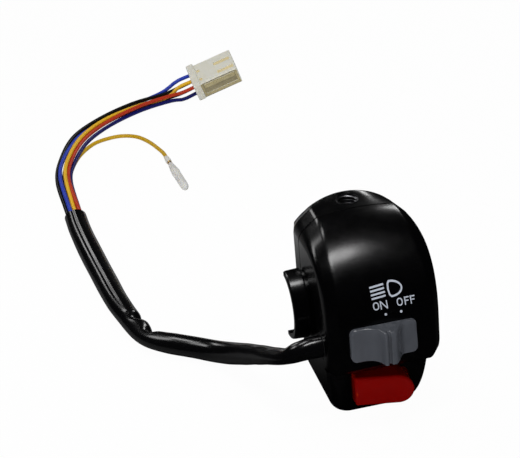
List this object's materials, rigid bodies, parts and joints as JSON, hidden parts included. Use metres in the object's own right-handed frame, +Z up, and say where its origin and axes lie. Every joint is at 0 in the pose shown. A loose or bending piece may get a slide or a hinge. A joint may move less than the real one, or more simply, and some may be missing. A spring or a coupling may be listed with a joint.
{
  "type": "handlebar switch cluster",
  "caption": "Split handlebar switch housing with a sliding light switch, a sprung starter paddle, a threaded mirror hole on top and a wiring loom that ends in a connector.",
  "frame": {"origin": "on the handlebar axis, half way along the housing", "axes": "+X along the handlebar to the rider's right, +Y away from the rider, +Z up"},
  "size_m": [0.1075, 0.3238, 0.0662],
  "materials": {
    "housing_black": "satin",
    "slider_grey": "satin",
    "paddle_red": "gloss",
    "natural_plastic": "satin",
    "board_brown": "satin",
    "brass": "satin",
    "steel": "satin",
    "grommet_black": "matte",
    "pvc_black": "gloss",
    "pvc_blue": "gloss",
    "pvc_dark_blue": "gloss",
    "pvc_red": "gloss",
    "pvc_yellow": "gloss",
    "nylon_white": "satin",
    "clear_sleeve": "gloss"
  },
  "bodies": {
    "housing": {"front_housing": "housing_black", "rear_housing": "housing_black", "housing_screws": "steel", "light_contact_board": "board_brown", "light_fixed_contacts": "brass", "light_board_screws": "steel", "light_leads": "pvc_black", "paddle_pin": "steel", "start_contact_base": "board_brown", "start_fixed_contacts": "brass", "start_base_screws": "steel", "start_leads": "pvc_black", "start_spring": "steel", "cable_grommet": "grommet_black", "cable_sleeve": "pvc_black", "wire_black_upper": "pvc_black", "wire_black_lower": "pvc_black", "wire_blue": "pvc_blue", "wire_red": "pvc_red", "wire_dark_blue": "pvc_dark_blue", "wire_yellow": "pvc_yellow", "wire_tail": "pvc_yellow", "connector_housing": "nylon_white", "connector_terminals": "brass", "bullet_terminal": "brass", "bullet_sleeve": "clear_sleeve"},
    "light_slider": {"slider_cap": "slider_grey", "slider_screw": "steel", "slider_carrier": "natural_plastic", "light_contact_strip": "brass", "detent_ball": "steel", "detent_spring": "steel"},
    "starter_lever": {"start_paddle": "paddle_red"},
    "starter_plunger": {"start_plunger": "natural_plastic", "start_bridge": "brass"}
  },
  "joints": [
    {"name": "light_slide", "type": "slide", "parent": "housing", "child": "light_slider", "axis": [1, 0, 0], "range_m": [0, 0.0056]},
    {"name": "starter_turn", "type": "hinge", "parent": "housing", "child": "starter_lever", "pos_m": [-0.0096, -0.0246, -0.0226], "axis": [0, 0, 1], "range_deg": [0, 8], "stiffness_Nm_per_rad": 0.08, "springref_deg": -1.72},
    {"name": "starter_push", "type": "slide", "parent": "housing", "child": "starter_plunger", "axis": [0, 1, 0], "range_m": [0, 0.0016], "deforming": ["start_spring"]}
  ],
  "couplings": [
    {"joint": "starter_push", "follows": "starter_turn", "m_per_rad": 0.0111}
  ]
}
